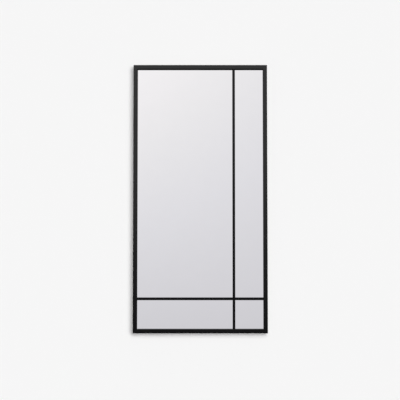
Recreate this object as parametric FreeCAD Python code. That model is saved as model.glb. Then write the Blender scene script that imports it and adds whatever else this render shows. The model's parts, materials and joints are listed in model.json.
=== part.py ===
import FreeCAD, Part
import math
import os

from FreeCAD import Vector

# A tall wall mirror: a slim hollow frame, two bars crossing in front of one pane,
# and a backing board held in from behind by turn buttons.
# X runs across the mirror, +Y points into the wall and +Z is up.
# The origin is midway between the two keyholes, on the wall plane.
# All sizes are in millimetres.

# Overall size and place on the wall
overall_width = 600.0
overall_height = 1200.0
stand_off = 6.0  # wall to the back of the frame
keyhole_drop = 120.0  # top of the frame down to the keyholes

# Frame section: a front box, and a rear leg outside the rebate that the glass lies in
leg_width = 10.0
rebate_width = 8.0
box_depth = 15.0  # front face to the shoulder that the glass seats on
tube_wall = 1.5
front_edge_radius = 1.0
rear_edge_radius = 0.5
mitre_seam_width = 0.3  # fine groove round each mitre joint
mitre_seam_depth = 0.5

# Glass, board and the tapes they lie on
seat_tape_thickness = 1.0
seat_tape_width = 4.5
seat_tape_setback = 0.5  # back from the visible edge of the frame
glass_thickness = 4.0
glass_arris = 0.5  # ground off every edge of the pane
board_tape_thickness = 1.0
board_thickness = 3.0
edge_gap = 1.5  # glass and board to the rear leg
setting_block_length = 30.0
setting_block_spread = 300.0  # between the two blocks' middles
board_tape_width = 25.0
board_tape_length = 480.0
board_tape_pitch = 320.0  # strip to strip

# Crossing bars
bar_width = 11.0
bar_setback = 1.0  # front of the frame to the front of the bars
bar_edge_radius = 0.6
upright_from_right = 150.0  # outer right edge to the upright's middle
level_from_bottom = 152.0  # outer bottom edge to the level bar's middle
lap_clearance = 0.1
bar_tape_width = 6.0
pin_radius = 2.0
pin_in_bar = 8.0
pin_in_rail = 6.0
pin_clearance = 0.1
pin_end_gap = 0.5
pin_chamfer = 0.4

# Corner keys
key_reach = 48.0  # outer corner to the end of each arm
key_clearance = 0.15
corner_screw_inset = 30.0  # outer corner to the screw in each arm

# Pan head screws
screw_radius = 2.0
screw_length = 9.0
screw_point = 2.0
screw_tip_radius = 0.4
screw_hole_clearance = 0.1
head_radius = 3.8
head_height = 2.4
head_round = 1.2
recess_width = 0.9
recess_span = 4.2
recess_depth = 1.2

# Turn buttons
button_width = 9.0
button_reach = 22.0  # pivot to the far end
button_thickness = 1.2
button_tab_height = 2.6  # turned-up finger tab above the plate
button_tab_width = 6.0
button_bend_radius = 0.6
button_hole_clearance = 0.2
button_head_gap = 0.1
button_inset = 180.0  # top or bottom edge to the outer buttons on a stile
washer_radius = 4.3
washer_thickness = 0.3

# Hanging rail
strip_height = 34.0
strip_thickness = 1.5
strip_end_inset = 1.0  # outer edge of the frame to the strip's end
strip_foot = 14.0  # outer edge of the frame to the joggle
strip_bend_radius = 1.5
strip_corner_radius = 2.5
strip_screw_pitch = 18.0
keyhole_spacing = 400.0
keyhole_head_radius = 5.0
keyhole_slot_width = 5.0
keyhole_slot_rise = 12.0  # head hole to the end of the slot
keyhole_above_edge = 12.0  # lower edge of the strip to the head hole

# Wall bumpers
bumper_radius = 4.5
bumper_face_radius = 3.8
bumper_round = 0.6
bumper_inset = 60.0  # top or bottom edge to the bumper's middle

# Planes and edges worked out from the sizes above
rail_face = leg_width + rebate_width  # seen from the front
leg_depth = seat_tape_thickness + glass_thickness + board_tape_thickness + board_thickness
rear = -stand_off
shoulder = rear - leg_depth
front = shoulder - box_depth
glass_front = shoulder + seat_tape_thickness
glass_rear = glass_front + glass_thickness
board_front = glass_rear + board_tape_thickness
right = overall_width / 2
left = -right
top = keyhole_drop
bottom = top - overall_height
middle = (top + bottom) / 2
leg_middle = leg_width / 2
seam_trim = mitre_seam_width / math.sqrt(2)  # off each end of a side's outer skin
pane_inset = leg_width + edge_gap
upright_x = right - upright_from_right
level_z = bottom + level_from_bottom
bar_front = front + bar_setback
bar_middle = (bar_front + shoulder) / 2

across = Vector(1, 0, 0)
into_wall = Vector(0, 1, 0)
up = Vector(0, 0, 1)
origin = Vector(0, 0, 0)
same_point = 1e-6  # closer than this, two points are one

# Each side of the frame: its turn about Y from the bottom rail, its outer edge's middle, its length
sides = {
    "bottom": (0, Vector(0, 0, bottom), overall_width),
    "right": (270, Vector(right, 0, middle), overall_height),
    "top": (180, Vector(0, 0, top), overall_width),
    "left": (90, Vector(left, 0, middle), overall_height),
}
around = list(sides)

os.makedirs("parts", exist_ok=True)


def rounded_face(points, radii):
    """A flat face with the given corners, each rounded by its radius."""
    starts = []
    arcs = []
    ends = []
    for number, corner in enumerate(points):
        radius = radii[number]
        back = (points[number - 1] - corner).normalize()
        ahead = (points[(number + 1) % len(points)] - corner).normalize()
        if radius == 0:
            starts.append(corner)
            arcs.append(None)
            ends.append(corner)
            continue
        half = back.getAngle(ahead) / 2
        inward = (back + ahead).normalize()
        start = corner + back * (radius / math.tan(half))
        end = corner + ahead * (radius / math.tan(half))
        crown = corner + inward * (radius / math.sin(half) - radius)
        starts.append(start)
        arcs.append(Part.Arc(start, crown, end).toShape())
        ends.append(end)
    edges = []
    for number in range(len(points)):
        if ends[number - 1].distanceToPoint(starts[number]) > same_point:
            edges.append(Part.LineSegment(ends[number - 1], starts[number]).toShape())
        if arcs[number]:
            edges.append(arcs[number])
    return Part.Face(Part.Wire(edges))


def block(x0, x1, y0, y1, z0, z1):
    """A box between two opposite corners."""
    return Part.makeBox(x1 - x0, y1 - y0, z1 - z0, Vector(x0, y0, z0))


def rod(radius, start, direction, length):
    """A round bar from a point."""
    return Part.makeCylinder(radius, length, start, direction)


def moved(shape, x, y, z):
    """A copy of a shape, shifted."""
    copy = shape.copy()
    copy.translate(Vector(x, y, z))
    return copy


def turned(shape, side):
    """A copy of a shape made for the bottom rail, turned to face inward from another side."""
    copy = shape.copy()
    copy.rotate(origin, into_wall, sides[side][0])
    return copy


def save(name, *solids):
    """Write one node."""
    shape = solids[0] if len(solids) == 1 else Part.makeCompound(list(solids))
    shape.exportStep("parts/" + name + ".step")


# Frame: section, mitred runs, rails and keys


def section(inset, front_radius=0, rear_radius=0):
    """The stepped section of the frame, drawn in by an inset."""
    front_y = front + inset
    shoulder_y = shoulder - inset
    rear_y = rear - inset
    outer = inset
    leg_inner = leg_width - inset
    face_inner = rail_face - inset
    corners = [
        Vector(0, front_y, outer),
        Vector(0, front_y, face_inner),
        Vector(0, shoulder_y, face_inner),
        Vector(0, shoulder_y, leg_inner),
        Vector(0, rear_y, leg_inner),
        Vector(0, rear_y, outer),
    ]
    radii = [front_radius, front_radius, 0, 0, rear_radius, rear_radius]
    return rounded_face(corners, radii)


def mitred_run(face, side, start, end, trim=0):
    """A section carried along a side between two stations, cut to the mitres less a trim."""
    edge_middle, length = sides[side][1:]
    half = length / 2 - trim
    run = moved(face, start, 0, 0).extrude(across * (end - start))
    corners = [
        Vector(-half, front, 0),
        Vector(half, front, 0),
        Vector(half - rail_face, front, rail_face),
        Vector(rail_face - half, front, rail_face),
        Vector(-half, front, 0),
    ]
    between_mitres = Part.Face(Part.makePolygon(corners)).extrude(into_wall * (rear - front))
    placed = turned(run.common(between_mitres), side)
    placed.translate(edge_middle)
    return placed


def frame_side(side, holes):
    """One hollow rail or stile with its holes. Its skin stops short of the mitres for the seam."""
    half = sides[side][2] / 2
    skin = section(0, front_edge_radius, rear_edge_radius)
    skin = mitred_run(skin, side, -half, half, seam_trim)
    core_radii = [
        max(0, radius - mitre_seam_depth) for radius in (front_edge_radius, rear_edge_radius)
    ]
    core = mitred_run(section(mitre_seam_depth, *core_radii), side, -half, half)
    cavity = mitred_run(section(tube_wall), side, -half, half)
    return skin.fuse(core).cut(cavity).cut(holes).Solids[0]


def corner_key(side, next_side, holes):
    """An angled key inside the corner where one side meets the next."""
    face = section(tube_wall + key_clearance)
    half = sides[side][2] / 2
    next_half = sides[next_side][2] / 2
    arm = mitred_run(face, side, half - key_reach, half)
    next_arm = mitred_run(face, next_side, -next_half, key_reach - next_half)
    return arm.fuse(next_arm).removeSplitter().cut(holes).Solids[0]


# Screws: one template, set down at each spot on the back


def pan_screw():
    """A pan head screw, head towards the wall, with the underside of its head at the origin."""
    outline = [
        Vector(0, -screw_length - screw_point, 0),
        Vector(screw_tip_radius, -screw_length - screw_point, 0),
        Vector(screw_radius, -screw_length, 0),
        Vector(screw_radius, 0, 0),
        Vector(head_radius, 0, 0),
        Vector(head_radius, head_height, 0),
        Vector(0, head_height, 0),
    ]
    screw = rounded_face(outline, [0, 0, 0, 0, 0, head_round, 0]).revolve(origin, into_wall, 360)
    floor = head_height - recess_depth
    wide = recess_span / 2
    narrow = recess_width / 2
    slot = block(-wide, wide, floor, head_height, -narrow, narrow)
    cross_slot = block(-narrow, narrow, floor, head_height, -wide, wide)
    return Part.Solid(screw).cut(slot.fuse(cross_slot)).Solids[0]


def screws_at(spots, seat):
    """A screw at each spot, with its head seated on the given plane."""
    return [moved(pan_screw(), x, seat, z) for x, z in spots]


def screw_holes(spots, seat):
    """Clearance holes for the screws at these spots."""
    depth = screw_length + screw_point + screw_hole_clearance
    radius = screw_radius + screw_hole_clearance
    return [rod(radius, Vector(x, seat, z), -into_wall, depth) for x, z in spots]


leg_x = {"left": left + leg_middle, "right": right - leg_middle}
leg_z = {"top": top - leg_middle, "bottom": bottom + leg_middle}
corners = {
    ("left", "top"): (left + corner_screw_inset, top - corner_screw_inset),
    ("right", "top"): (right - corner_screw_inset, top - corner_screw_inset),
    ("left", "bottom"): (left + corner_screw_inset, bottom + corner_screw_inset),
    ("right", "bottom"): (right - corner_screw_inset, bottom + corner_screw_inset),
}
corner_spots = []
for (stile, rail), (inset_x, inset_z) in corners.items():
    corner_spots.append((leg_x[stile], inset_z))
    corner_spots.append((inset_x, leg_z[rail]))

button_heights = {"top": top - button_inset, "middle": middle, "bottom": bottom + button_inset}
buttons = {}
for stile in ("left", "right"):
    for level, height in button_heights.items():
        buttons["turn_button_" + stile + "_" + level] = (stile, leg_x[stile], height)
for rail in ("top", "bottom"):
    buttons["turn_button_" + rail] = (rail, 0, leg_z[rail])
button_spots = [(x, z) for side, x, z in buttons.values()]

strip_middle = strip_height / 2 - keyhole_above_edge
strip_levels = (strip_middle - strip_screw_pitch / 2, strip_middle + strip_screw_pitch / 2)
strip_spots = [(x, z) for x in leg_x.values() for z in strip_levels]

button_rear = rear + washer_thickness + button_thickness
button_screw_seat = button_rear + button_head_gap
strip_screw_seat = rear + strip_thickness

save("corner_screws", *screws_at(corner_spots, rear))
save("turn_button_screws", *screws_at(button_spots, button_screw_seat))
save("hanging_rail_screws", *screws_at(strip_spots, strip_screw_seat))

# Crossing bars, their end pins and the holes for the pins


def bar_section():
    """The bars' section, seen along X, with its middle on the X axis."""
    half = bar_width / 2
    outline = [
        Vector(0, bar_front, -half),
        Vector(0, bar_front, half),
        Vector(0, shoulder, half),
        Vector(0, shoulder, -half),
    ]
    return rounded_face(outline, [bar_edge_radius, bar_edge_radius, 0, 0])


bar_left = left + rail_face
bar_right = right - rail_face
bar_bottom = bottom + rail_face
bar_top = top - rail_face
bar_ends = [
    (Vector(bar_left, bar_middle, level_z), across),
    (Vector(bar_right, bar_middle, level_z), -across),
    (Vector(upright_x, bar_middle, bar_bottom), up),
    (Vector(upright_x, bar_middle, bar_top), -up),
]


def end_pin(radius, gap, end, inward):
    """A pin, or with a gap the hole for one, at a bar's end."""
    length = pin_in_rail + pin_in_bar + 2 * gap
    return rod(radius, end - inward * (pin_in_rail + gap), inward, length)


pins = []
for end, inward in bar_ends:
    pin = end_pin(pin_radius, 0, end, inward)
    rims = [edge for edge in pin.Edges if edge.isClosed()]
    pins.append(pin.makeChamfer(pin_chamfer, rims).Solids[0])
pin_holes = [
    end_pin(pin_radius + pin_clearance, pin_end_gap, end, inward) for end, inward in bar_ends
]
lap = bar_width / 2 + lap_clearance
level_bar = moved(bar_section(), bar_left, 0, level_z).extrude(across * (bar_right - bar_left))
level_notch = block(
    upright_x - lap, upright_x + lap, bar_front, bar_middle, level_z - lap, level_z + lap
)
upright_bar = moved(turned(bar_section(), "left"), upright_x, 0, bar_top)
upright_bar = upright_bar.extrude(-up * (bar_top - bar_bottom))
upright_notch = block(
    upright_x - lap, upright_x + lap, bar_middle, shoulder, level_z - lap, level_z + lap
)
save("bar_end_pins", *pins)
save("horizontal_bar", level_bar.cut([level_notch] + pin_holes).Solids[0])
save("vertical_bar", upright_bar.cut([upright_notch] + pin_holes).Solids[0])

# Frame sides and corner keys, drilled for every screw and pin

key_holes = screw_holes(corner_spots, rear)
rear_holes = key_holes + screw_holes(button_spots, rear) + screw_holes(strip_spots, rear)
for side in around:
    kind = "_rail" if side in leg_z else "_stile"
    save(side + kind, frame_side(side, rear_holes + pin_holes))
for number, side in enumerate(around):
    next_side = around[(number + 1) % len(around)]
    rail, stile = sorted((side, next_side), key=lambda name: name in leg_x)
    save("corner_key_" + rail + "_" + stile, corner_key(side, next_side, key_holes))

# Glass, seating tapes, setting blocks, board tapes and board

pane_left = left + pane_inset
pane_right = right - pane_inset
pane_bottom = bottom + pane_inset
pane_top = top - pane_inset
pane = block(pane_left, pane_right, glass_front, glass_rear, pane_bottom, pane_top)
save("mirror_glass", pane.makeChamfer(glass_arris, pane.Edges).Solids[0])
save(
    "backing_board",
    block(pane_left, pane_right, board_front, rear, pane_bottom, pane_top),
)

tape_inner = rail_face - seat_tape_setback
tape_outer = tape_inner - seat_tape_width
for side in around:
    edge_middle, length = sides[side][1:]
    trim = tape_outer if side in leg_z else tape_inner
    strip = block(
        trim - length / 2, length / 2 - trim, shoulder, glass_front, tape_outer, tape_inner
    )
    strip = turned(strip, side)
    strip.translate(edge_middle)
    save("seat_tape_" + side, strip)

tape_half = bar_tape_width / 2
save(
    "bar_tape_vertical",
    block(
        upright_x - tape_half, upright_x + tape_half, shoulder, glass_front, bar_bottom, bar_top
    ),
)
level_runs = {
    "left": (bar_left, upright_x - tape_half),
    "right": (upright_x + tape_half, bar_right),
}
for hand, (start, end) in level_runs.items():
    save(
        "bar_tape_horizontal_" + hand,
        block(start, end, shoulder, glass_front, level_z - tape_half, level_z + tape_half),
    )

for hand, sign in (("left", -1), ("right", 1)):
    block_middle = sign * setting_block_spread / 2
    half = setting_block_length / 2
    save(
        "setting_block_" + hand,
        block(
            block_middle - half,
            block_middle + half,
            glass_front,
            glass_rear,
            bottom + leg_width,
            pane_bottom,
        ),
    )

board_tapes = ("top", "upper", "lower", "bottom")
for number, name in enumerate(board_tapes):
    height = middle + board_tape_pitch * ((len(board_tapes) - 1) / 2 - number)
    half = board_tape_width / 2
    save(
        "board_tape_" + name,
        block(
            -board_tape_length / 2,
            board_tape_length / 2,
            glass_rear,
            board_front,
            height - half,
            height + half,
        ),
    )

# Turn buttons and the washers under them


def turn_button():
    """A pressed button pointing up from its pivot at the origin, with a turned-up finger tab."""
    half = button_width / 2
    under = rear + washer_thickness
    tab_top = button_rear + button_tab_height
    profile = [
        Vector(-half, under, -half),
        Vector(-half, under, button_reach),
        Vector(-half, tab_top, button_reach),
        Vector(-half, tab_top, button_reach - button_thickness),
        Vector(-half, button_rear, button_reach - button_thickness),
        Vector(-half, button_rear, -half),
    ]
    outer_bend = button_bend_radius + button_thickness
    bent = rounded_face(profile, [0, outer_bend, 0, 0, button_bend_radius, 0])
    bent = bent.extrude(across * button_width)
    tab_half = button_tab_width / 2
    shoulder_z = button_reach - (half - tab_half)
    plan = [
        Vector(-half, under, -half),
        Vector(half, under, -half),
        Vector(half, under, shoulder_z),
        Vector(tab_half, under, button_reach),
        Vector(-tab_half, under, button_reach),
        Vector(-half, under, shoulder_z),
    ]
    outline = rounded_face(plan, [half, half, 0, 0, 0, 0]).extrude(into_wall * (tab_top - under))
    pivot = rod(screw_radius + button_hole_clearance, Vector(0, rear, 0), into_wall, stand_off)
    return bent.common(outline).cut(pivot).Solids[0]


for name, (side, x, z) in buttons.items():
    save(name, moved(turned(turn_button(), side), x, 0, z))

washer = rod(washer_radius, Vector(0, rear, 0), into_wall, washer_thickness)
washer = washer.cut(
    rod(screw_radius + button_hole_clearance, Vector(0, rear, 0), into_wall, washer_thickness)
)
save("turn_button_washers", *[moved(washer, x, 0, z) for x, z in button_spots])

# Hanging rail: a flat strip joggled back to the wall, with two keyholes


def joggled_strip():
    """The strip's bent outline, seen from above, carried up to its height, with round corners."""
    rise = stand_off - strip_thickness
    shift = strip_thickness * math.tan(math.radians(45) / 2)
    end = right - strip_end_inset
    foot = right - strip_foot
    lift = foot - rise
    half_path = [
        (end, rear, 0),
        (foot, rear, strip_bend_radius + strip_thickness),
        (lift, -strip_thickness, strip_bend_radius),
    ]
    wall_path = [
        (lift + shift, 0, strip_bend_radius + strip_thickness),
        (foot + shift, rear + strip_thickness, strip_bend_radius),
        (end, rear + strip_thickness, 0),
    ]
    path = half_path
    path = path + [(-x, y, radius) for x, y, radius in reversed(half_path)]
    path = path + [(-x, y, radius) for x, y, radius in reversed(wall_path)]
    path = path + wall_path
    low = -keyhole_above_edge
    high = low + strip_height
    outline = rounded_face([Vector(x, y, low) for x, y, radius in path], [step[2] for step in path])
    plate = [(-end, low), (end, low), (end, high), (-end, high)]
    plate = rounded_face([Vector(x, rear, z) for x, z in plate], [strip_corner_radius] * 4)
    return outline.extrude(up * strip_height).common(plate.extrude(into_wall * stand_off))


def keyhole(x):
    """The opening of one keyhole: a head hole with a slot above it."""
    slot_half = keyhole_slot_width / 2
    behind = Vector(x, -strip_thickness, 0)
    head = rod(keyhole_head_radius, behind, into_wall, strip_thickness)
    slot = block(x - slot_half, x + slot_half, -strip_thickness, 0, 0, keyhole_slot_rise)
    slot_end = rod(slot_half, behind + up * keyhole_slot_rise, into_wall, strip_thickness)
    return head.fuse([slot, slot_end]).removeSplitter()


strip_openings = [keyhole(-keyhole_spacing / 2), keyhole(keyhole_spacing / 2)]
strip_openings = strip_openings + screw_holes(strip_spots, strip_screw_seat)
save("hanging_rail", joggled_strip().cut(strip_openings).Solids[0])

# Wall bumpers


def bumper():
    """A tapered rubber foot on the back of the frame, facing the wall."""
    outline = [
        Vector(0, rear, 0),
        Vector(bumper_radius, rear, 0),
        Vector(bumper_face_radius, 0, 0),
        Vector(0, 0, 0),
    ]
    return Part.Solid(rounded_face(outline, [0, 0, bumper_round, 0]).revolve(origin, into_wall, 360))


bumper_heights = {"top": top - bumper_inset, "bottom": bottom + bumper_inset}
for level, height in bumper_heights.items():
    for stile, x in leg_x.items():
        save("wall_bumper_" + level + "_" + stile, moved(bumper(), x, 0, height))
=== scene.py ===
# %% [markdown]
# # A wall mirror with two crossing bars
# The object is a tall mirror in a slim black metal frame. One upright and one level bar stand in
# front of a single pane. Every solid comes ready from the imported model, at its real size and
# place. New pieces could be modelled over the solids, but these already have the real sections,
# bends and rounded edges, so this lesson is about finishes, light and the camera.

# %% Load the frame
import json
import math

import bmesh
import bpy
from mathutils import Matrix, Vector


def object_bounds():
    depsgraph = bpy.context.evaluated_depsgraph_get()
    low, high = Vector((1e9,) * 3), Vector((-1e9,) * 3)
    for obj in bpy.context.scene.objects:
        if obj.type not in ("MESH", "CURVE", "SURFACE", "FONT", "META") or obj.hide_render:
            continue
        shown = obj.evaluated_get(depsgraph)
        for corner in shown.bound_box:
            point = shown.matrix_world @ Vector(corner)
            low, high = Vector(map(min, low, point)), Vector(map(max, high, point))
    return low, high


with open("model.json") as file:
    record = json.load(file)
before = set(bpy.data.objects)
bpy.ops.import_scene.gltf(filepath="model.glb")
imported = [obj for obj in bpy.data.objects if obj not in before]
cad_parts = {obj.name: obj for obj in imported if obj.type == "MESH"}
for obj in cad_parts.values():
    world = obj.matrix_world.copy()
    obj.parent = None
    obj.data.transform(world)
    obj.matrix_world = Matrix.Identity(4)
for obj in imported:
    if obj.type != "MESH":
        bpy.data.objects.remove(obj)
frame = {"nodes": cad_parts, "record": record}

cad_box = [list(corner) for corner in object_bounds()]
low, high = (Vector(corner) for corner in cad_box)
print("solids loaded:", len(frame["nodes"]))
print("width, depth and height:", [round(side, 3) for side in high - low])

# %% [markdown]
# ## Black powder coat
# The frame and the bars are powder coated: dry paint, baked to a tough film that keeps a fine
# orange peel. Black alone would look like ink, so the coat needs drift, gloss and relief as well.
# It starts as a bare surface shader, and the next three steps add those to it.

# %% Start the coat
def start_finish(name, metallic=0.0, specular=0.5):
    """A new material, with its node tree and its surface shader."""
    material = bpy.data.materials.new(name)
    material.use_nodes = True
    surface = material.node_tree.nodes["Principled BSDF"]
    surface.inputs["Metallic"].default_value = metallic
    surface.inputs["Specular IOR Level"].default_value = specular
    return material, material.node_tree, surface


finishes = {}
finishes["frame_black"], tree, surface = start_finish("black_powder_coat")
print("started:", finishes["frame_black"].name)

# %% [markdown]
# ### Where a pattern lies
# A drawn picture could carry the orange peel, but it would have to be unwrapped. Object
# coordinates need no unwrapping. They are in metres, and a pattern on them stays on the piece when
# it moves. Stretched and turned, they give a grain. Adding, setting and joining a node takes many
# lines, so one helper does all three.

# %% Coordinates on the coat
def feed(tree, socket, value):
    """Joins a socket to another one, or sets it to a plain value."""
    if isinstance(value, bpy.types.NodeSocket):
        tree.links.new(value, socket)
    else:
        socket.default_value = value


def add_node(tree, kind, settings=None, **inputs):
    """A node with its settings and inputs. An underscore stands for a space in an input's name."""
    node = tree.nodes.new(kind)
    for name, value in (settings or {}).items():
        setattr(node, name, value)
    for name, value in inputs.items():
        feed(tree, node.inputs[name.replace("_", " ")], value)
    return node


def place(tree, longer=1.0, turn=0.0):
    """Object coordinates whose features are longer along X, then turned about Y by degrees."""
    coordinates = add_node(tree, "ShaderNodeTexCoord")
    mapping = add_node(
        tree,
        "ShaderNodeMapping",
        {"vector_type": "TEXTURE"},
        Vector=coordinates.outputs["Object"],
        Rotation=(0.0, math.radians(turn), 0.0),
        Scale=(longer, 1.0, 1.0),
    )
    return mapping.outputs["Vector"]


on_coat = place(tree)
print("coordinates on the coat:", on_coat.node.name)

# %% [markdown]
# ### Patterns in metres
# A coat that is baked on drifts slowly from place to place, and its peel is as fine as sand. One
# noise could hold both, but then one couldn't be changed without the other. Two noises at their
# own sizes are clearer: 6 cm for the drift and 1.1 mm for the peel.

# %% Drift and orange peel
noise_roughness = 0.55


def noise(tree, where, size, detail=3.0):
    """Cloudy noise whose features are about size metres across."""
    cloud = add_node(
        tree,
        "ShaderNodeTexNoise",
        Vector=where,
        Scale=1.0 / size,
        Detail=detail,
        Roughness=noise_roughness,
    )
    return cloud.outputs["Fac"]


drift = noise(tree, on_coat, size=0.06, detail=2.0)
peel = noise(tree, on_coat, size=0.0011, detail=2.0)
print("patterns on the coat:", drift.node.name, "and", peel.node.name)

# %% [markdown]
# ### From a pattern to a look
# One pattern can drive several sockets. A colour ramp turns the drift into two near blacks. The
# peel varies the gloss a little and, as bumps a hundredth of a millimetre deep, breaks the shine.
# Noise seldom leaves the range from 0.3 to 0.7, so that range is stretched to the one wanted.

# %% Colour, gloss and relief of the coat
noise_low = 0.3
noise_high = 0.7


def shade(tree, value, stops):
    """A colour ramp with (place, colour) stops."""
    ramp = add_node(tree, "ShaderNodeValToRGB", Fac=value)
    points = ramp.color_ramp.elements
    while len(points) < len(stops):
        points.new(1.0)
    for point, (where, colour) in zip(points, stops):
        point.position = where
        point.color = (*colour, 1.0)
    return ramp.outputs["Color"]


def two_tone(tree, value, dark, light):
    """A ramp from dark to light over the middle of a noise."""
    return shade(tree, value, [(noise_low, dark), (noise_high, light)])


def spread(tree, value, least, most):
    """Stretches the middle of a noise to run from least to most."""
    stretch = add_node(
        tree,
        "ShaderNodeMapRange",
        Value=value,
        From_Min=noise_low,
        From_Max=noise_high,
        To_Min=least,
        To_Max=most,
    )
    return stretch.outputs["Result"]


def dress(tree, surface, colour, roughness, height, depth):
    """Joins a colour, a roughness and bumps of a depth in metres to a surface."""
    bump = add_node(tree, "ShaderNodeBump", Height=height, Distance=depth)
    feed(tree, surface.inputs["Base Color"], colour)
    feed(tree, surface.inputs["Roughness"], roughness)
    feed(tree, surface.inputs["Normal"], bump.outputs["Normal"])


black = two_tone(tree, drift, dark=(0.003, 0.003, 0.0034), light=(0.0046, 0.0045, 0.005))
dress(tree, surface, black, spread(tree, peel, least=0.17, most=0.23), peel, depth=0.000012)
print("nodes in the coat:", len(tree.nodes))

# %% [markdown]
# ### A flatter coat on the bars
# The bars look blacker than the frame round them, at every height, so their coat shines less. A
# recipe of their own could be written, but the two coats differ only in shine. A copy with half
# of it is enough.

# %% Coat of the bars
bar_shine = 0.25

bar_coat = finishes["frame_black"].copy()
bar_coat.name = "flat_black_coat"
bar_surface = bar_coat.node_tree.nodes["Principled BSDF"]
bar_surface.inputs["Specular IOR Level"].default_value = bar_shine
print("copied:", bar_coat.name)

# %% [markdown]
# ## Silvered glass
# A mirror is glass with silver behind it. Clear glass over a silver sheet could be modelled, but
# from a few steps away the two can't be told apart, so one perfectly smooth metal does for both.
# Faint clouds in its colour, a few centimetres across, are the film that every pane gathers.

# %% Silvered glass
finishes["mirror_silver"], tree, surface = start_finish("silvered_glass", metallic=1.0)
surface.inputs["Roughness"].default_value = 0.0
film = noise(tree, place(tree), size=0.05, detail=4.0)
silver = two_tone(tree, film, dark=(0.927, 0.917, 0.937), light=(0.935, 0.925, 0.945))
feed(tree, surface.inputs["Base Color"], silver)
print("nodes in the silvered glass:", len(tree.nodes))

# %% [markdown]
# ## Bright zinc
# The hanging rail, screws, pins and buttons are zinc plated. Plating has a soft blue-grey mottle,
# and rolled strip keeps fine marks along its length. Noise made sixteen times longer one way
# gives such marks without drawing any.

# %% Bright zinc
blue_grey = (0.5, 0.52, 0.56)
zinc_grey = (0.62, 0.63, 0.65)
warm_grey = (0.7, 0.69, 0.66)

finishes["zinc_steel"], tree, surface = start_finish("zinc_plate", metallic=1.0)
mottle = noise(tree, place(tree), size=0.006, detail=4.0)
marks = noise(tree, place(tree, longer=16.0), size=0.0007, detail=2.0)
zinc = shade(tree, mottle, [(0.3, blue_grey), (0.55, zinc_grey), (0.75, warm_grey)])
dress(tree, surface, zinc, spread(tree, mottle, least=0.26, most=0.42), marks, depth=0.000006)
print("nodes in the zinc:", len(tree.nodes))

# %% [markdown]
# ## Cast alloy
# The corner keys stay inside the frame and are left as cast: dull, pale and slightly pitted. One
# fine noise is enough for all three, since light and dark, dull and bright go with the pits.

# %% Cast alloy
finishes["key_alloy"], tree, surface = start_finish("cast_alloy", metallic=1.0)
grain = noise(tree, place(tree), size=0.0012, detail=4.0)
alloy = two_tone(tree, grain, dark=(0.5, 0.51, 0.53), light=(0.66, 0.67, 0.69))
dress(tree, surface, alloy, spread(tree, grain, least=0.42, most=0.6), grain, depth=0.00004)
print("nodes in the alloy:", len(tree.nodes))

# %% [markdown]
# ## Fibreboard
# The back is thin pressed fibreboard: a mat of short fibres that lie every way, with a few dark
# slivers among them, and a tone that varies slowly over the sheet. Two crossed grains would look
# like cloth. Five thin layers of long noise, each turned another way, look matted. A layer is
# multiplied in, and where it is white it changes nothing.

# %% Fibreboard
fibre_turns = (8.0, 47.0, 81.0, 118.0, 152.0)
sliver_turns = (29.0, 136.0)
white = (1.0, 1.0, 1.0)
fibre_tones = [(0.3, (0.88, 0.87, 0.85)), (0.5, white), (0.7, (1.08, 1.08, 1.09))]
sliver_tones = [(0.2, (0.5, 0.43, 0.37)), (0.27, white)]


def lay_over(tree, base, layer):
    """Multiplies a colour by a layer over it, with the Mix node's sockets for colours."""
    mix = add_node(tree, "ShaderNodeMix", {"data_type": "RGBA", "blend_type": "MULTIPLY"})
    share, under, over = (mix.inputs[number] for number in (0, 6, 7))
    feed(tree, share, 1.0)
    feed(tree, under, base)
    feed(tree, over, layer)
    return mix.outputs[2]


finishes["fibre_board"], tree, surface = start_finish("fibreboard", specular=0.25)
clouds = noise(tree, place(tree), size=0.14, detail=6.0)
board = two_tone(tree, clouds, dark=(0.31, 0.204, 0.124), light=(0.338, 0.227, 0.14))
for turn in fibre_turns:
    fibres = noise(tree, place(tree, longer=7.0, turn=turn), size=0.0005, detail=2.0)
    board = lay_over(tree, board, shade(tree, fibres, fibre_tones))
for turn in sliver_turns:
    slivers = noise(tree, place(tree, longer=4.0, turn=turn), size=0.0011, detail=1.0)
    board = lay_over(tree, board, shade(tree, slivers, sliver_tones))
dress(tree, surface, board, spread(tree, fibres, least=0.74, most=0.9), fibres, depth=0.00004)
print("nodes in the fibreboard:", len(tree.nodes))

# %% [markdown]
# ## Foam, rubber and nylon
# The tapes are closed-cell foam, the bumpers and setting blocks are rubber, and the washers are
# natural nylon. All are dull and differ in scale: foam shows its cells, rubber a fine bloom and
# nylon a faint milkiness. So one recipe serves for four finishes, with cells or noise as grain.

# %% Recipe for a dull finish
dull_shine = 0.3
grain_low = 0.25
grain_high = 0.75
roughness_drift = 0.06


def cells(tree, where, size):
    """Cell noise: the distance from the middle of each cell of about size metres."""
    return add_node(tree, "ShaderNodeTexVoronoi", Vector=where, Scale=1.0 / size).outputs["Distance"]


def dull_finish(name, grain_of, size, depth, roughness, dark, light):
    """A dull finish whose grain drives its colour, roughness and relief."""
    finish, tree, surface = start_finish(name, specular=dull_shine)
    grain = grain_of(tree, place(tree), size)
    colour = shade(tree, grain, [(grain_low, dark), (grain_high, light)])
    dullness = spread(tree, grain, roughness - roughness_drift, roughness + roughness_drift)
    dress(tree, surface, colour, dullness, grain, depth)
    return finish


finishes["seat_foam"] = dull_finish(
    "black_foam",
    cells,
    size=0.0006,
    depth=0.00008,
    roughness=0.85,
    dark=(0.012, 0.012, 0.013),
    light=(0.03, 0.03, 0.031),
)
print("dull finish:", finishes["seat_foam"].name)

# %% [markdown]
# ### Three more from the recipe
# White foam differs from black in colour, and is a touch smoother. Rubber and nylon have noise in
# place of cells, and nylon is the smoothest. They could be copies with changed numbers, as on the
# bars, but so many numbers differ that calling the recipe again is shorter.

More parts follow.
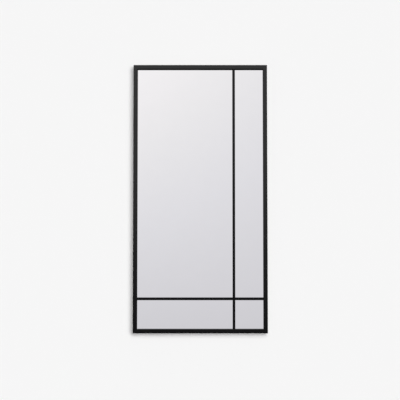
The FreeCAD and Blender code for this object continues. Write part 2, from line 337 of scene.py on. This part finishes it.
# %% White foam, rubber and nylon
finishes["board_foam"] = dull_finish(
    "white_foam",
    cells,
    size=0.0006,
    depth=0.00008,
    roughness=0.8,
    dark=(0.66, 0.66, 0.63),
    light=(0.82, 0.82, 0.79),
)
finishes["rubber_black"] = dull_finish(
    "black_rubber",
    noise,
    size=0.0016,
    depth=0.00003,
    roughness=0.68,
    dark=(0.014, 0.014, 0.015),
    light=(0.03, 0.03, 0.032),
)
finishes["nylon_washer"] = dull_finish(
    "natural_nylon",
    noise,
    size=0.002,
    depth=0.00002,
    roughness=0.45,
    dark=(0.7, 0.68, 0.61),
    light=(0.82, 0.8, 0.73),
)
print("finishes so far:", len(finishes))

# %% [markdown]
# ## Give every solid its finish
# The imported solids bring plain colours. The record names a material slot for each of them, so no
# list of pieces is needed here: one loop puts the finish of its slot on each solid. Only the two
# bars are named, for their flatter coat.

# %% Give every solid its finish
for subpart in frame["record"]["subparts"]:
    solid = frame["nodes"][subpart["node"]]
    solid.data.materials.clear()
    solid.data.materials.append(finishes[subpart["material_slot"]])
for bar in ("vertical_bar", "horizontal_bar"):
    frame["nodes"][bar].data.materials[0] = bar_coat

# %% [markdown]
# ## A pale wall and floor
# The mirror hangs on a plain wall above a plain floor. Both are stage, not part of the object. A
# room with four walls would hide the back, so the wall shows only its front: from behind it is
# clear, by the Backfacing fact, and a camera there looks through it. It takes the mirror's shadow.

# %% Pale paint
wall_tone = 0.9225
mist_contrast = 0.001


def choose(tree, fact, otherwise, when):
    """One shader when a fact holds, and another when it doesn't."""
    mix = add_node(tree, "ShaderNodeMixShader", Fac=fact)
    for socket, shader in zip(mix.inputs[1:], (otherwise, when)):
        feed(tree, socket, shader)
    return mix.outputs["Shader"]


paint, tree, surface = start_finish("pale_paint", specular=0.0)
surface.inputs["Roughness"].default_value = 0.9
mist = noise(tree, place(tree), size=0.4, detail=1.0)
mist_tones = [(0.0, (wall_tone - mist_contrast,) * 3), (1.0, (wall_tone + mist_contrast,) * 3)]
feed(tree, surface.inputs["Base Color"], shade(tree, mist, mist_tones))
clear = add_node(tree, "ShaderNodeBsdfTransparent").outputs["BSDF"]
behind = add_node(tree, "ShaderNodeNewGeometry").outputs["Backfacing"]
one_sided = choose(tree, behind, surface.outputs["BSDF"], clear)
feed(tree, tree.nodes["Material Output"].inputs["Surface"], one_sided)
print("paint tone:", wall_tone)

# %% [markdown]
# ### Hang it at a real height
# A mirror this tall hangs with its middle about 1.5 m above the floor. The wall touches the
# bumpers, at the back of the part's own box. A grid of one face makes each plane, and a matrix
# sets it up. Only the camera sees the two: light that bounced off them, or that they shut out,
# would tint the frame and change the level of the light.

# %% Wall and floor
hanging_height = 1.5
wall_half_width = 6.0
floor_half_width = 40.0
mirror_middle = (low + high) / 2
floor_level = mirror_middle.z - hanging_height


def stage_plane(name, half_width, matrix):
    """A painted square that only the camera sees."""
    shape = bmesh.new()
    bmesh.ops.create_grid(shape, x_segments=1, y_segments=1, size=half_width, matrix=matrix)
    mesh = bpy.data.meshes.new(name)
    shape.to_mesh(mesh)
    shape.free()
    mesh.materials.append(paint)
    plane = bpy.data.objects.new(name, mesh)
    plane.visible_diffuse = False
    plane.visible_glossy = False
    plane.visible_transmission = False
    plane.visible_shadow = False
    bpy.context.scene.collection.objects.link(plane)


upright = Matrix.Rotation(math.radians(90.0), 4, "X")
wall_place = Matrix.Translation((0.0, high.y, floor_level + wall_half_width))
stage_plane("wall", wall_half_width, wall_place @ upright)
stage_plane("floor", floor_half_width, Matrix.Translation((0.0, 0.0, floor_level)))
print("floor at", round(floor_level, 3), "and wall at", round(high.y, 3))

# %% [markdown]
# ## Light
# Two large soft lamps stand to the right of the camera, one nearly level with the mirror and one
# above it, and throw the short soft shadow to the left and below. A fill from the camera's own
# side lifts that shadow. Two lamps light the back, for views from behind, and a faint one overhead
# puts a shadow on the floor. Area lamps would do, but a sun gives an even wall, and its share of
# full white is easy to add up: with the world's 0.08, the three at the front come to 1.

# %% Lamps
def soft_sun(name, came_from, share, size):
    """A soft sun, size degrees across, that gives a facing wall a share of full white."""
    lamp = bpy.data.lights.new(name, "SUN")
    direction = Vector(came_from).normalized()
    lamp.energy = math.pi * share / abs(direction.y)
    lamp.angle = math.radians(size)
    sun = bpy.data.objects.new(name, lamp)
    sun.rotation_mode = "QUATERNION"
    sun.rotation_quaternion = direction.to_track_quat("Z", "Y")
    sun.visible_glossy = False
    bpy.context.scene.collection.objects.link(sun)
    print(name, "strength", round(lamp.energy, 2))


soft_sun("side_lamp", came_from=(0.6, -1.0, 0.23), share=0.34, size=28.0)
soft_sun("upper_lamp", came_from=(0.21, -1.0, 0.58), share=0.31, size=30.0)
soft_sun("camera_side_fill", came_from=(0.0, -1.0, 0.0), share=0.27, size=4.0)
soft_sun("back_key_lamp", came_from=(-0.4, 1.0, 0.6), share=0.6, size=40.0)
soft_sun("back_fill", came_from=(0.5, 1.0, 0.1), share=0.3, size=60.0)
soft_sun("ceiling_lamp", came_from=(0.0, -0.01, 1.0), share=0.002, size=2.0)

# %% [markdown]
# ## What the mirror sees
# A mirror shows the room in front of it, so its look is the look of that room. Walls and windows
# could be modelled there, but a world that takes its tone from the direction of a ray is easier
# to steer. Here the tone follows how far a ray climbs. For the pane, left counts as higher too,
# and more so above eye level, because its light comes from above and the left.

# %% Heights in the room
world = bpy.data.worlds.new("studio")
bpy.context.scene.world = world
world.use_nodes = True
sky = world.node_tree
sky.nodes.clear()
direction = add_node(sky, "ShaderNodeTexCoord").outputs["Generated"]
along = add_node(sky, "ShaderNodeSeparateXYZ", Vector=direction).outputs


def sky_math(operation, *values):
    """One sum in the sky, of sockets or plain numbers."""
    node = add_node(sky, "ShaderNodeMath", {"operation": operation})
    for socket, value in zip(node.inputs, values):
        feed(sky, socket, value)
    return node.outputs["Value"]


def sky_range(value, **limits):
    """A value stretched from one range to another, and held at its ends."""
    return add_node(sky, "ShaderNodeMapRange", Value=value, **limits).outputs["Result"]


def as_height(slope):
    """A slope from -1 straight down to 1 straight up, as a place from 0 to 1 on a ramp."""
    return sky_math("MULTIPLY_ADD", slope, 0.5, 0.5)


lean = sky_range(along["Z"], From_Min=-0.08, From_Max=0.2, To_Min=-0.1, To_Max=-0.85)
pane_height = as_height(sky_math("MULTIPLY_ADD", along["X"], lean, along["Z"]))
coat_height = as_height(along["Z"])
print("nodes for the room's heights:", len(sky.nodes))

# %% [markdown]
# ### Two views of one room
# The pane is perfectly smooth and shows one direction at each point, so its ramp is gentle. The
# coat is satin and gathers a wide cone of directions, which evens a ramp out. Its own ramp is
# therefore steeper, dark below eye level and bright above, and the frame darkens downwards.

# %% Ramps for the pane and the coat
pane_tones = [
    (-0.45, (0.51, 0.51, 0.525)),
    (-0.1, (0.65, 0.649, 0.67)),
    (0.05, (0.786, 0.787, 0.805)),
    (0.15, (0.88, 0.877, 0.876)),
    (0.22, (0.943, 0.934, 0.93)),
    (0.5, white),
]
coat_greys = [(-0.1, 0.01), (-0.025, 0.055), (0.045, 0.59), (0.2, 0.81), (0.4, 1.0), (1.0, 0.85)]
coat_tones = [(slope, (grey, grey, grey)) for slope, grey in coat_greys]


def room_view(height, tones):
    """A ramp of (slope, tone) stops over the heights in the room."""
    return shade(sky, height, [((slope + 1) / 2, tone) for slope, tone in tones])


pane_view = room_view(pane_height, pane_tones)
coat_view = room_view(coat_height, coat_tones)
print("ramps:", pane_view.node.name, "and", coat_view.node.name)

# %% [markdown]
# ### Which ray sees what
# Light Path tells the world what kind of ray asks. The camera sees a pale ground like the wall.
# Matt surfaces get a little even light. A singular ray comes off the pane and sees its ramp, and
# so does gloss that looks away from the front, or the zinc at the back would be black. A ray that
# has bounced twice came out of the corner between frame and glass, where less of the room reaches.

# %% Join the world
matt_light = 0.08
past_one_bounce = 1.5
path = add_node(sky, "ShaderNodeLightPath").outputs


def glow(tone, strength=1.0):
    """A background of one tone, or of a ramp."""
    background = add_node(sky, "ShaderNodeBackground", Color=tone, Strength=strength)
    return background.outputs["Background"]


def even_glow(grey):
    """A background of one grey."""
    return glow((grey, grey, grey, 1.0))


aside = sky_range(along["Y"], From_Min=-0.9, From_Max=-0.75)
gentle = sky_math("MAXIMUM", path["Is Singular Ray"], aside)
gloss = choose(sky, gentle, glow(coat_view), glow(pane_view))
corner = choose(sky, aside, glow(coat_view, strength=0.2), glow(pane_view, strength=0.35))
twice = sky_math("GREATER_THAN", path["Glossy Depth"], past_one_bounce)
gloss = choose(sky, twice, gloss, corner)
mirrored = sky_math("MAXIMUM", path["Is Glossy Ray"], path["Is Transmission Ray"])
light = choose(sky, mirrored, even_glow(matt_light), gloss)
light = choose(sky, path["Is Camera Ray"], light, even_glow(wall_tone))
add_node(sky, "ShaderNodeOutputWorld", Surface=light)
print("nodes in the world:", len(sky.nodes))

# %% [markdown]
# ## Camera
# The view is from straight in front, a little over four metres away. The lens is below the
# mirror's middle and tips up slightly, so the foot of the frame is a touch wider than its top. A
# level lens with a shift would keep the sides upright, and the real picture has them leaning.

# %% Camera
camera_distance = 4.165
camera_drop = 0.2154
camera_side = -0.00125
camera_tilt = math.radians(2.852)
focal_length = 84.08
sensor_width = 36.0

lens = bpy.data.cameras.new("camera")
lens.lens = focal_length
lens.sensor_width = sensor_width
camera = bpy.data.objects.new("camera", lens)
camera.location = (camera_side, low.y - camera_distance, mirror_middle.z - camera_drop)
camera.rotation_euler = (math.radians(90.0) + camera_tilt, 0.0, 0.0)
bpy.context.scene.collection.objects.link(camera)
bpy.context.scene.camera = camera
bpy.context.scene.view_settings.view_transform = "Standard"
print("camera at", [round(value, 3) for value in camera.location])
